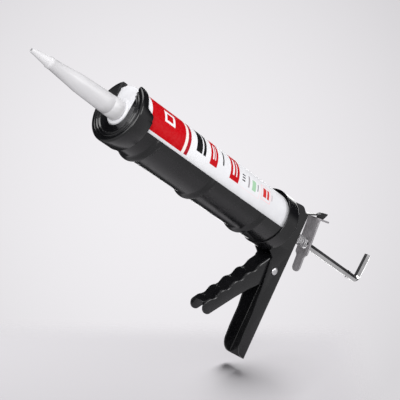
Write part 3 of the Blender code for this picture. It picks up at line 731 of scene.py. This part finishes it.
def make_trigger(mat):
    """The trigger: a waved channel whose walls run past the pivot to push the drive plate."""
    levels = [34.0 * MM, 0.0]
    per_wave = 24
    levels += [-12.0 * MM - WAVE_PITCH * i / per_wave for i in range(4 * per_wave + 1)]
    levels.append(TRIGGER_END - 12.0 * MM)
    trigger = channel("trigger_look", levels, TRIGGER_HALF, TRIGGER_BEND, wave, 20.0 * MM, IN_TRIGGER)
    reach = TRIGGER_HALF + 5.0 * MM
    combine(trigger, prism("walls", trigger_outline(), -reach, reach, IN_TRIGGER), "INTERSECT")
    inside = TRIGGER_HALF - TRIGGER_BEND
    web_end = box_outline(TRIGGER_FRONT - 5.0 * MM, TRIGGER_FRONT + 20.0 * MM, -110.0 * MM, -84.6 * MM)
    combine(trigger, prism("web_end", web_end, -inside, inside, IN_TRIGGER))
    round_hole(trigger, PIVOT_HOLE_R, IN_TRIGGER @ QUARTER)
    round_edges(trigger, 0.25 * MM)
    settle(trigger, mat, "trigger", ["trigger"])


def make_pivot(mat):
    """The trigger's pivot rivet, domed on both sides."""
    face = HANDLE_HALF + GAP
    half = [(face, 3.0 * MM), (face, PIVOT_DOME_R - 0.1 * MM), (face + 0.1 * MM, PIVOT_DOME_R)]
    for k in range(1, 6):
        angle = math.radians(15.0 * k)
        half.append((face + 1.6 * MM * math.sin(angle), PIVOT_DOME_R * math.cos(angle)))
    profile = [(-face - 1.65 * MM, 0.0)]
    profile += [(-x, r) for x, r in reversed(half)] + half + [(face + 1.65 * MM, 0.0)]
    pivot = turned("trigger_pivot_look", profile, placement(*PIVOT) @ QUARTER, 48)
    settle(pivot, mat, "frame", ["trigger_pivot"])


def make_cartridge(print_mat, nozzle_mat):
    """The cartridge with its neck, and the nozzle screwed on it."""
    front = TUBE_FRONT
    neck_end = front - NECK_LENGTH
    boss = front - 2.2 * MM
    inside = front + 2.0 * MM
    tube = [(TUBE_REAR, TUBE_BORE_R), (TUBE_REAR, TUBE_R), (front + 1.2 * MM, TUBE_R)]
    tube += [(front + 0.3 * MM, TUBE_R - 0.4 * MM), (front, TUBE_R - 1.2 * MM)]
    tube += [(front, 12.4 * MM), (front - 0.4 * MM, 12.0 * MM), (boss + 0.9 * MM, 11.8 * MM)]
    tube += arc((boss + 0.9 * MM, 10.9 * MM), 0.9 * MM, 90.0, 180.0, 6)
    tube += [(boss, 7.0 * MM)]
    thread_x = boss
    while thread_x > neck_end + 3.2 * MM:
        for step, r in ((0.9, 6.5), (1.2, 6.5), (1.9, 7.0), (2.2, 7.0)):
            tube.append((thread_x - step * MM, r * MM))
        thread_x -= THREAD_PITCH
    tube += [(neck_end, 6.6 * MM), (neck_end, NECK_BORE_R), (inside, NECK_BORE_R)]
    tube += [(inside, TUBE_BORE_R)]
    cartridge = turned("cartridge_tube_look", tube, IN_BARREL, 160)
    settle(cartridge, print_mat, "frame", ["cartridge_tube"])

    skirt = boss - GAP
    tip = skirt - NOZZLE_LENGTH
    outer = [(skirt, 9.0 * MM), (skirt - 0.2 * MM, 9.2 * MM), (skirt - 11.0 * MM, 9.05 * MM)]
    outer += [(skirt - 11.3 * MM, 8.85 * MM), (skirt - 11.9 * MM, 8.85 * MM), (skirt - 12.2 * MM, 9.0 * MM)]
    outer += [(skirt - 20.0 * MM, 8.75 * MM), (skirt - 46.0 * MM, 7.8 * MM), (skirt - 55.0 * MM, 6.85 * MM)]
    outer += [(tip + 21.9 * MM, 4.75 * MM), (tip + 21.4 * MM, 4.95 * MM), (tip + 18.8 * MM, 4.95 * MM)]
    outer += [(tip + 18.4 * MM, 4.75 * MM), (tip + 17.6 * MM, 4.3 * MM)]
    outer += [(tip + 1.0 * MM, 2.1 * MM), (tip, 1.9 * MM)]
    inner = [(tip, 1.2 * MM), (tip + 18.0 * MM, 3.2 * MM), (tip + 22.0 * MM, 3.8 * MM)]
    inner += [(skirt - 46.0 * MM, 6.7 * MM), (skirt - 13.0 * MM, 7.3 * MM), (skirt, 7.3 * MM)]
    nozzle = turned("nozzle_look", outer + inner, IN_BARREL, 96)
    settle(nozzle, nozzle_mat, "frame", ["nozzle"])


def rod_section(centre, across, other):
    """A hexagon with a flat facing along the first of two unit vectors."""
    corner = ROD_ACROSS / math.sqrt(3.0)
    points = []
    for k in range(6):
        angle = math.radians(60.0 * k + 30.0)
        points.append(centre + corner * (math.cos(angle) * across + math.sin(angle) * other))
    return points


def make_rod(mat):
    """The hexagonal thrust rod with its pull hook, stop crimp and front stud."""
    side = Vector((0.0, 1.0, 0.0))
    up = Vector((0.0, 0.0, 1.0))
    along = Vector((1.0, 0.0, 0.0))
    bend = Vector((ROD_HOOK_X - ROD_BEND_R, 0.0, ROD_BEND_R))
    sections = [rod_section(along * ROD_FRONT, up, side)]
    bend_steps = 20
    for k in range(bend_steps + 1):
        angle = math.radians(90.0 * k / bend_steps)
        outward = math.sin(angle) * along - math.cos(angle) * up
        sections.append(rod_section(bend + ROD_BEND_R * outward, -outward, side))
    sections.append(rod_section(Vector((ROD_HOOK_X, 0.0, ROD_HOOK_TOP - 0.3 * MM)), -along, side))
    end = Vector((ROD_HOOK_X, 0.0, ROD_HOOK_TOP))
    sections.append([end + 0.9 * (point - end) for point in rod_section(end, -along, side)])
    rod = skin("thrust_rod_look", sections, IN_BARREL, 25.0)
    ears = box_outline(-1.3 * MM, 1.3 * MM, -4.3 * MM, 4.3 * MM)
    crimp = prism("crimp", ears, 134.1 * MM, 136.9 * MM, IN_BARREL, "X")
    round_edges(crimp, 0.5 * MM, 3)
    combine(rod, crimp, "UNION")
    tip = ROD_FRONT - 11.0 * MM
    root = ROD_FRONT + 6.0 * MM
    stud = [(tip, 0.0), (tip, STUD_R - 0.3 * MM), (tip + 0.3 * MM, STUD_R), (root, STUD_R), (root, 0.0)]
    combine(rod, turned("stud", stud, IN_BARREL, 32), "UNION")
    rod.data.shade_smooth()
    rod.data.set_sharp_from_angle(angle=math.radians(22.0))
    settle(rod, mat, "rod", ["thrust_rod"])


def make_lever(mat):
    """The release lever with its thumb tab, finger tongue and slot."""
    face = LEVER_FACE
    rear = face + LEVER_SHEET
    top = 0.2 * MM
    under = top - LEVER_SHEET
    bottom = LEVER_BOTTOM
    half = LEVER_HALF
    side = [(face, bottom), (rear, bottom)]
    side += arc((rear + MM, under - MM), MM, 180.0, 90.0, 6)
    side += [(LEVER_TAB_END, under), (LEVER_TAB_END, top)]
    side += arc((face + 2.0 * MM, -1.8 * MM), 2.0 * MM, 90.0, 180.0, 8)
    plate = prism("release_lever_look", side, -half, half, IN_LEVER)
    tongue = 5.0 * MM
    shoulder = -37.5 * MM
    front = [(half, 5.0 * MM), (-half, 5.0 * MM), (-half, shoulder)]
    front += arc((-half + 2.5 * MM, shoulder), 2.5 * MM, 180.0, 255.0, 6)
    front += [(-tongue, shoulder - 4.6 * MM)]
    front += arc((0.0, bottom + tongue), tongue, 180.0, 360.0, 28)
    front += [(tongue, shoulder - 4.6 * MM)]
    front += arc((half - 2.5 * MM, shoulder), 2.5 * MM, 285.0, 360.0, 6)
    combine(plate, prism("outline", front, -20.0 * MM, 20.0 * MM, IN_LEVER, "X"), "INTERSECT")
    slot = box_outline(-2.6 * MM, 3.8 * MM, -6.0 * MM, 6.0 * MM)
    combine(plate, prism("slot", slot, -4.2 * MM, 4.2 * MM, IN_LEVER))
    round_hole(plate, 4.8 * MM, IN_LEVER @ Matrix.Translation((face, 0.0, LEVER_HOLE_Z)), 20.0 * MM)
    round_edges(plate, 0.2 * MM)
    settle(plate, mat, "release_lever", ["release_lever"])


def make_spring(name, mat, ends, radius, wire_r, turns):
    """A spring of the frame between two ends, with a mesh of its own."""
    start, end = ends
    spring = coil(name + "_look", start, end, radius, wire_r, turns, IN_BARREL)
    settle(spring, mat, "frame", [name])
    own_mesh(spring)


def make_springs(mat):
    """The lever spring round the rod and the main spring inside the frame."""
    web_face = -BARREL_X - BARREL_Z * math.tan(math.radians(-HANDLE_TILT_DEG))
    lever_ends = (web_face + 3.0 * GAP, -BARREL_X + LEVER_SPRING_END)
    make_spring("lever_spring", mat, lever_ends, LEVER_SPRING_R, LEVER_WIRE_R, 7)
    main_ends = (GAP, MAIN_SPRING_END)
    make_spring("main_spring", mat, main_ends, MAIN_SPRING_R, MAIN_WIRE_R, 4)


# ---------------------------------------------------------------- stage

WORLD_UP = Vector((-0.592, 0.0, 0.806)).normalized()
FLOOR_POINT = Vector((0.0125, 0.0, -0.0955))
CAMERA_PLACE = Vector((-0.80133, -0.7188, -0.09457))
CAMERA_RIGHT = Vector((0.6097, -0.6399, 0.4676)).normalized()
CAMERA_BACK = Vector((-0.6760, -0.7279, -0.1146)).normalized()
CAMERA_LENS_MM = 98.64
CAMERA_SENSOR_MM = 36.0
DARK_SIDE = (0.28, 0.74, 0.60)
WALL_MIDDLE = (0.652, 0.750, 0.108)
GUN_MIDDLE = Vector((-0.12, 0.0, 0.03))
FLOOR_REACH = 6.0
FLOOR_SUN_STRENGTH = 4.65
FLOOR_SUN_SPREAD_DEG = 27.0

# Each soft box is (name, metres towards the camera, to the right, up, width in metres, watts).
SOFT_BOXES = [
    ("top_box", -0.1, 0.0, 1.3, 0.8, 10.0),
    ("left_box", 1.0, -0.9, 0.35, 0.7, 4.0),
    ("right_box", 0.5, 1.2, 0.3, 0.6, 6.0),
    ("front_box", 1.4, 0.0, 0.2, 0.9, 11.0),
    ("back_box", -1.3, 0.3, 0.0, 0.9, 7.0),
]

# The floor is solid up to the first distance from the foot and gone at the second, in metres, on
# the left, on the right, in front and behind; each entry starts with the axis it runs along.
FLOOR_FADES = [(0, -0.25, -0.34), (0, 0.085, 0.14), (1, -0.17, -0.27), (1, 0.045, 0.1)]


def aim(obj, place, target):
    """Put a lamp or a camera somewhere and point it at a target."""
    obj.location = place
    obj.rotation_mode = "QUATERNION"
    obj.rotation_quaternion = (place - target).to_track_quat("Z", "Y")


def soft_box(name, place, target, size, watts, lit):
    """A large area lamp, which lights only one collection."""
    lamp = bpy.data.lights.new(name, "AREA")
    lamp.energy = watts
    lamp.size = size
    obj = bpy.data.objects.new(name, lamp)
    bpy.context.scene.collection.objects.link(obj)
    aim(obj, place, target)
    obj.light_linking.receiver_collection = lit


def make_floor():
    """A pale floor under the handle, seen from above only, with painted shade darker towards the camera,
    that fades out round the foot.
    """
    side = -CAMERA_BACK.cross(WORLD_UP).normalized()
    depth = WORLD_UP.cross(side)
    bm = bmesh.new()
    corners = box_outline(-FLOOR_REACH, FLOOR_REACH, -FLOOR_REACH, FLOOR_REACH)
    bm.faces.new([bm.verts.new((u, v, 0.0)) for u, v in corners])
    mesh = bpy.data.meshes.new("floor")
    bm.to_mesh(mesh)
    bm.free()
    floor = bpy.data.objects.new("floor", mesh)
    bpy.context.scene.collection.objects.link(floor)
    turn = Matrix((side, depth, WORLD_UP)).transposed().to_4x4()
    floor.matrix_world = Matrix.Translation(FLOOR_POINT) @ turn
    mat, n, bsdf = shader("floor_paper")
    place = n.place()
    split = n.add("ShaderNodeSeparateXYZ")
    n.plug(place, split.inputs[0])
    cloud = n.noise(place, 3.0, 3.0)
    # Painted shade: the floor's colour is darker towards the camera and to the right and lighter away from
    # it, as painted light falloff.
    across = n.math("MULTIPLY_ADD", split.outputs[0], -0.35, split.outputs[1])
    shade = n.math("MULTIPLY_ADD", n.math("SUBTRACT", cloud, 0.5), 0.05, across)
    light = n.remap(shade, -0.16, 0.14)
    n.plug(n.blend(light, colour(175, 173, 176), colour(189, 187, 190)), bsdf.inputs["Base Color"])
    bsdf.inputs["Roughness"].default_value = 0.9
    bsdf.inputs["Specular IOR Level"].default_value = 0.0
    n.plug(n.bump(n.noise(place, 700.0, 2.0), 0.05, 0.1 * MM), bsdf.inputs["Normal"])
    far = 0.0
    for axis, solid_to, gone_at in FLOOR_FADES:
        far = n.math("MAXIMUM", far, n.remap(split.outputs[axis], solid_to, gone_at))
    clear = n.add("ShaderNodeBsdfTransparent")
    mix = n.add("ShaderNodeMixShader")
    below = n.add("ShaderNodeNewGeometry").outputs["Backfacing"]
    n.plug(n.math("MAXIMUM", below, far), mix.inputs[0])
    n.plug(bsdf.outputs[0], mix.inputs[1])
    n.plug(clear.outputs[0], mix.inputs[2])
    n.plug(mix.outputs[0], mat.node_tree.nodes["Material Output"].inputs["Surface"])
    floor.data.materials.append(mat)
    return floor


def make_world():
    """A pale studio: a wall that fades outward, and a dark side for bright metal to show."""
    world = bpy.data.worlds.new("studio")
    world.use_nodes = True
    n = Nodes(world.node_tree)
    ray = n.add("ShaderNodeTexCoord").outputs["Generated"]

    def toward(direction):
        dot = n.add("ShaderNodeVectorMath", operation="DOT_PRODUCT")
        n.plug(ray, dot.inputs[0])
        dot.inputs[1].default_value = direction
        return dot.outputs["Value"]

    dark = n.remap(toward(DARK_SIDE), 0.0, 0.35)
    room = n.blend(dark, (0.56, 0.557, 0.565, 1.0), (0.03, 0.03, 0.032, 1.0))
    middle = n.math("MULTIPLY_ADD", toward(WALL_MIDDLE), 28.6, -27.6, clamp=True)
    wall = n.blend(middle, colour(216, 214, 217), colour(241, 239, 242))
    seen = n.add("ShaderNodeLightPath").outputs["Is Camera Ray"]
    n.plug(n.blend(seen, room, wall), world.node_tree.nodes["Background"].inputs["Color"])
    bpy.context.scene.world = world


def make_light(floor):
    """Soft boxes that light the gun alone, and a sun on the floor that only the handle shades."""
    on_gun = bpy.data.collections.new("lit_gun")
    for obj in bpy.context.scene.objects:
        if obj.type == "MESH" and obj != floor:
            on_gun.objects.link(obj)
    for name, toward, right, up, size, watts in SOFT_BOXES:
        place = GUN_MIDDLE + toward * CAMERA_BACK + right * CAMERA_RIGHT + up * WORLD_UP
        soft_box(name, place, GUN_MIDDLE, size, watts, on_gun)
    on_floor = bpy.data.collections.new("lit_floor")
    on_floor.objects.link(floor)
    lamp = bpy.data.lights.new("floor_sun", "SUN")
    lamp.energy = FLOOR_SUN_STRENGTH
    lamp.angle = math.radians(FLOOR_SUN_SPREAD_DEG)
    sun = bpy.data.objects.new("floor_sun", lamp)
    bpy.context.scene.collection.objects.link(sun)
    left = CAMERA_BACK.cross(WORLD_UP)
    behind = WORLD_UP.cross(-left).normalized()
    aim(sun, FLOOR_POINT + WORLD_UP + 0.6 * behind - 0.28 * left, FLOOR_POINT)
    sun.light_linking.receiver_collection = on_floor
    shading = bpy.data.collections.new("shades_floor")
    shading.objects.link(bpy.data.objects["handle_frame_look"])
    sun.light_linking.blocker_collection = shading


def make_camera():
    """The camera, in front of the nozzle on the near side and rolled with the tilted gun."""
    data = bpy.data.cameras.new("camera")
    data.lens = CAMERA_LENS_MM
    data.sensor_width = CAMERA_SENSOR_MM
    data.clip_start = 0.01
    data.clip_end = 30.0
    camera = bpy.data.objects.new("camera", data)
    bpy.context.scene.collection.objects.link(camera)
    up = CAMERA_BACK.cross(CAMERA_RIGHT).normalized()
    turn = Matrix((CAMERA_RIGHT, up, CAMERA_BACK)).transposed().to_4x4()
    camera.matrix_world = Matrix.Translation(CAMERA_PLACE) @ turn
    bpy.context.scene.camera = camera


def dress_hidden_pieces(plate_mat, white_mat, paste_mat):
    """Give the CAD pieces that stay their finished materials."""
    finishes = {"zinc_plate": plate_mat, "white_plastic": white_mat, "paste": paste_mat}
    slots = {entry["node"]: entry["material_slot"] for entry in frame["record"]["subparts"]}
    kept = ["cap_rivet_1", "cap_rivet_2", "cap_rivet_3", "cap_rivet_4", "drive_plate", "spring_washer",
            "plunger_washer", "plunger_plate", "rod_nut", "cartridge_piston", "sealant"]
    for node in kept:
        for slot in frame["nodes"][node].material_slots:
            slot.material = finishes[slots[node]]


def main():
    """Build the gun, the studio and the camera."""
    coat = black_coat("black_coat", (11, 11, 13), 0.22)
    cap_coat = black_coat("black_coat_caps", (9, 9, 11), 0.18)
    zinc = plated("dull_zinc", (170, 167, 170), 0.45, 190.0, 0.15, 0.5)
    bright = plated("bright_plate", (214, 213, 215), 0.26, 260.0, 0.08, 0.8)
    make_cradle(coat)
    make_front_cap(cap_coat)
    make_rear_cap(cap_coat)
    make_handle_frame(coat)
    make_trigger(coat)
    make_pivot(bright)
    nozzle_mat = white_plastic("cloudy_nozzle", (208, 207, 209), 0.34, 0.0)
    make_cartridge(label_print("printed_label"), nozzle_mat)
    make_rod(drawn_bar())
    make_lever(zinc)
    make_springs(plated("spring_wire", (196, 195, 197), 0.4, 190.0, 0.1, 0.55))
    dress_hidden_pieces(zinc, white_plastic("white_mould", (232, 232, 234), 0.4, 0.1),
                        white_plastic("paste_white", (226, 226, 222), 0.55, 0.2))
    make_world()
    make_light(make_floor())
    make_camera()
    bpy.context.scene.view_settings.view_transform = "Standard"


main()
